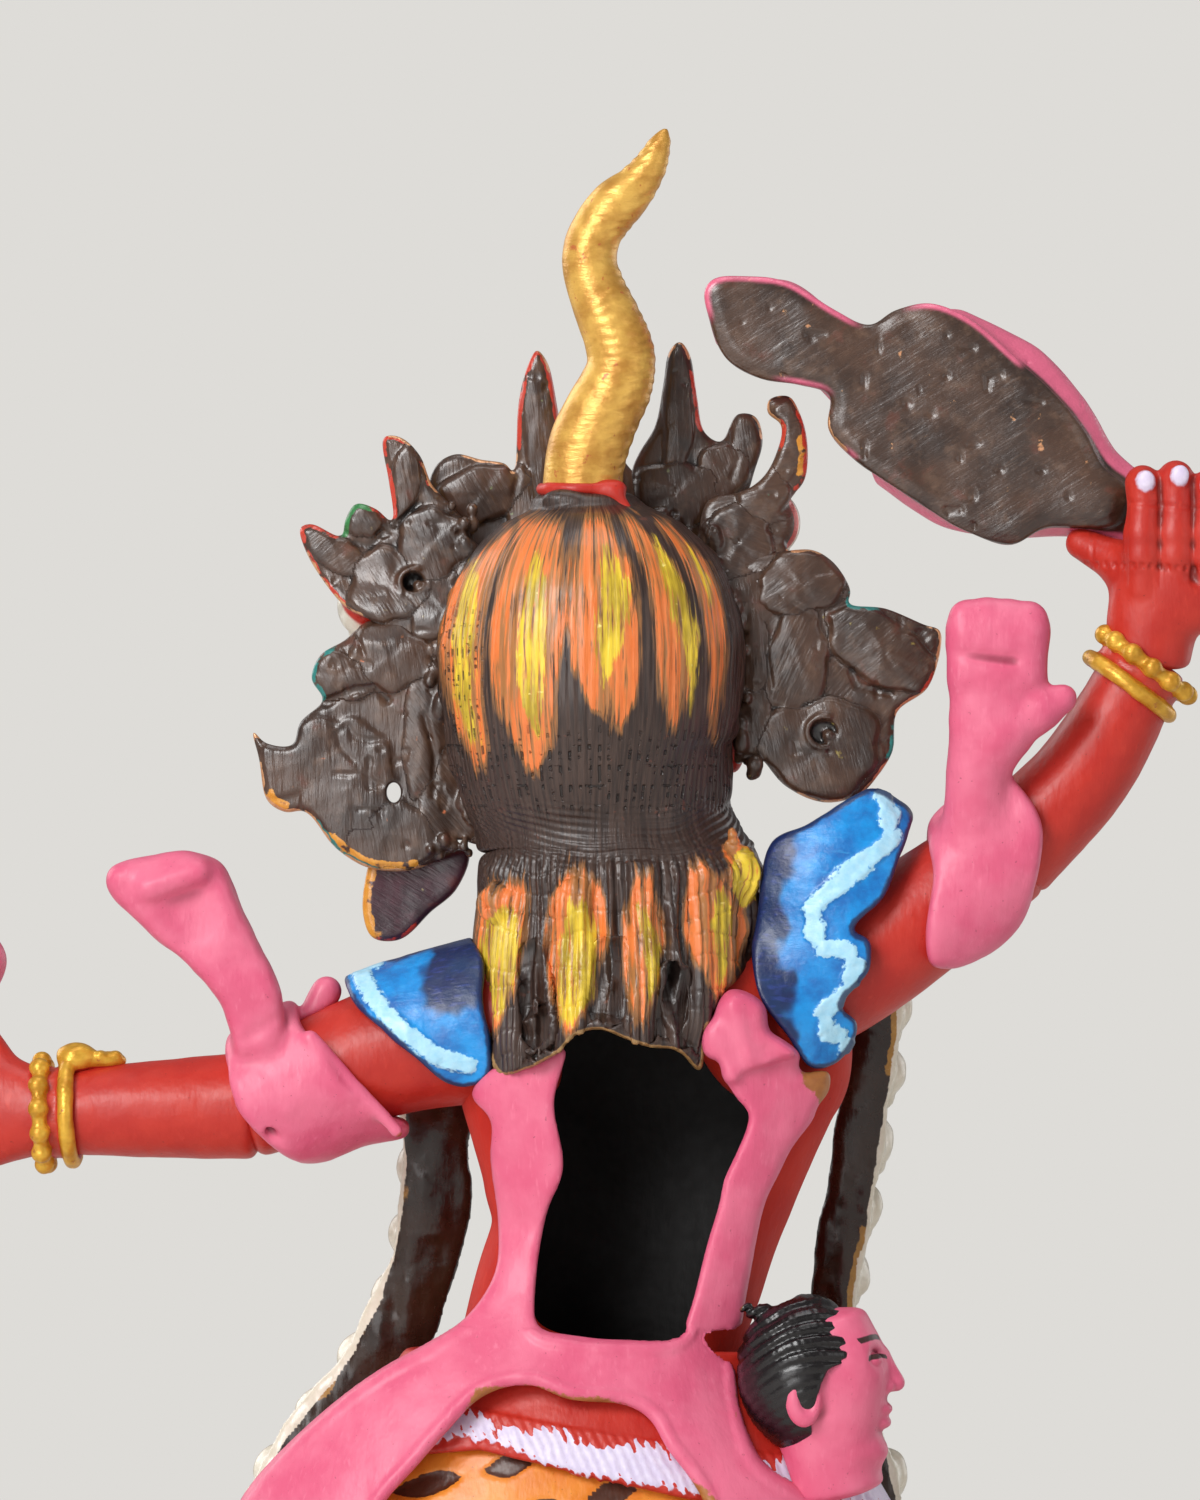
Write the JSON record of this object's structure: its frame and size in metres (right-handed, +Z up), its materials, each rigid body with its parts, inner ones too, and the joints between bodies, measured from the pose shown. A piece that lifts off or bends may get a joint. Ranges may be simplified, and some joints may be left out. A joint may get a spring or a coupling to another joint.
{
  "type": "painted copper deity statue",
  "caption": "Free-standing painted copper figure of a wrathful guardian goddess striding on a lotus pedestal, with a raised club, flame crown, flayed skin, skull garland and tiger skirt.",
  "frame": {"origin": "middle of the pedestal's flat underside", "axes": "+X to the figure's left, -Y out of her front, +Y out of her back (the pictured side), +Z up to the tip of the topknot"},
  "size_m": [0.1736, 0.0998, 0.3136],
  "materials": {
    "red_paint": "satin",
    "pink_paint": "satin",
    "brown_paint": "satin",
    "hair_paint": "semi-gloss, brushed orange and yellow strokes",
    "black_paint": "gloss",
    "gold_paint": "metallic",
    "blue_paint": "gloss",
    "orange_paint": "semi-gloss",
    "white_paint": "satin",
    "bare_copper": "worn copper, satin"
  },
  "bodies": {
    "root": {"lotus_pedestal": "gold_paint", "base_plate": "bare_copper", "standing_disc": "orange_paint", "peg_wedge_left": "bare_copper", "peg_wedge_right": "bare_copper", "leg_left": "red_paint", "leg_right": "red_paint", "anklet_left": "gold_paint", "anklet_right": "gold_paint", "torso_shell": "red_paint", "tiger_skirt": "orange_paint", "waist_belt": "red_paint", "head_casting": "red_paint", "hair_cap": "hair_paint", "nape_hair": "hair_paint", "topknot": "gold_paint", "topknot_tie": "red_paint", "crown_band": "gold_paint", "crown_leaf_centre": "brown_paint", "crown_leaf_inner_left": "brown_paint", "crown_leaf_outer_left": "brown_paint", "crown_leaf_inner_right": "brown_paint", "crown_leaf_outer_right": "brown_paint", "ear_fan_left": "brown_paint", "ear_fan_right": "brown_paint", "ear_pendant_left": "brown_paint", "collar_left": "blue_paint", "collar_right": "blue_paint", "upper_arm_left": "red_paint", "forearm_left": "red_paint", "hand_left": "red_paint", "bracelet_left": "gold_paint", "heart_offering": "pink_paint", "upper_arm_right": "red_paint", "forearm_right": "red_paint", "hand_right": "red_paint", "bracelet_right": "gold_paint", "corpse_club": "pink_paint", "skin_pelt": "pink_paint", "skin_foot_wrap": "pink_paint", "skin_hand_wrap": "pink_paint", "skin_knot": "pink_paint", "skin_head": "pink_paint", "skin_head_hair": "black_paint", "garland_left": "white_paint", "garland_right": "white_paint"}
  },
  "joints": []
}
